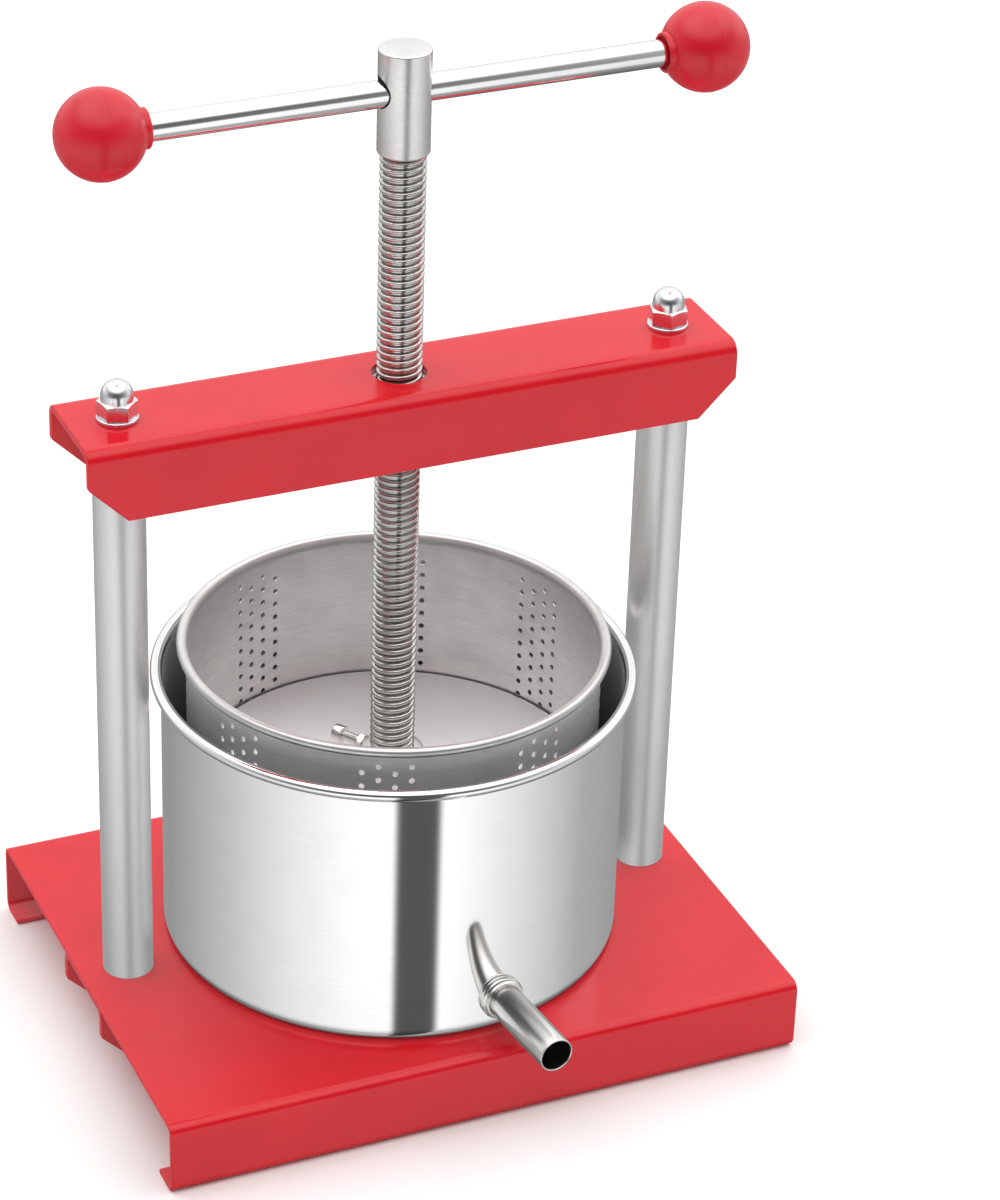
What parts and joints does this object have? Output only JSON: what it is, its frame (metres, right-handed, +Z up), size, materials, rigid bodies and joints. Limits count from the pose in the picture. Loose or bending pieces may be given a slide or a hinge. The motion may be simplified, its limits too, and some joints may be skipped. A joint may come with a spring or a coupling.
{
  "type": "basket wine press",
  "caption": "Basket press: folded steel stand, pot with a spout, perforated basket, and a press disc driven by a screw with a sliding T-handle.",
  "frame": {"origin": "on the bench plane, straight below the axis of the press screw", "axes": "+Z up along the screw; X along the cross beams and the handle bar; -Y is the front, towards the spout"},
  "size_m": [0.3394, 0.2924, 0.5084],
  "materials": {
    "red_paint": "glossy powder coat on folded sheet steel",
    "satin_tube": "satin drawn tube",
    "zinc_steel": "bright zinc plate",
    "polished_steel": "mirror-polished stainless steel",
    "brushed_steel": "brushed stainless steel",
    "machined_steel": "turned steel with fine tool marks",
    "bright_bar": "polished round bar",
    "knob_plastic": "semi-gloss moulded plastic with a faint mould seam"
  },
  "bodies": {
    "frame": {"base_plate": "red_paint", "lower_beam": "red_paint", "upper_beam": "red_paint", "screw_nut": "machined_steel", "post_left": "satin_tube", "post_right": "satin_tube", "tie_bolts": "zinc_steel", "lower_washers": "zinc_steel", "upper_washers": "zinc_steel", "cap_nuts": "zinc_steel"},
    "pot_body": {"pot": "polished_steel", "spout_tube": "polished_steel", "spout_collar": "polished_steel"},
    "basket_body": {"basket": "brushed_steel"},
    "press_plate": {"press_disc": "brushed_steel", "disc_hub": "machined_steel", "retaining_screw": "zinc_steel", "lock_nut": "zinc_steel"},
    "spindle": {"press_screw": "machined_steel", "screw_head": "machined_steel"},
    "handle": {"handle_bar": "bright_bar", "knob_left": "knob_plastic", "knob_right": "knob_plastic"}
  },
  "joints": [
    {"name": "press_travel", "type": "slide", "parent": "frame", "child": "press_plate", "axis": [0, 0, 1], "range_m": [-0.074, 0.17]},
    {"name": "screw_turn", "type": "hinge", "parent": "press_plate", "child": "spindle", "pos_m": [0, 0, 0.119], "axis": [0, 0, 1], "range_deg": [-7110, 16330]},
    {"name": "handle_slide", "type": "slide", "parent": "spindle", "child": "handle", "axis": [1, 0, 0], "range_m": [-0.1165, 0.1105]},
    {"name": "pot_turn", "type": "hinge", "parent": "frame", "child": "pot_body", "pos_m": [0, 0, 0.0385], "axis": [0, 0, 1], "range_deg": [-86, 74]},
    {"name": "basket_turn", "type": "hinge", "parent": "pot_body", "child": "basket_body", "pos_m": [0, 0, 0.0395], "axis": [0, 0, 1], "continuous": true}
  ],
  "couplings": [
    {"joint": "screw_turn", "follows": "press_travel", "rad_per_m": 1675.5}
  ]
}
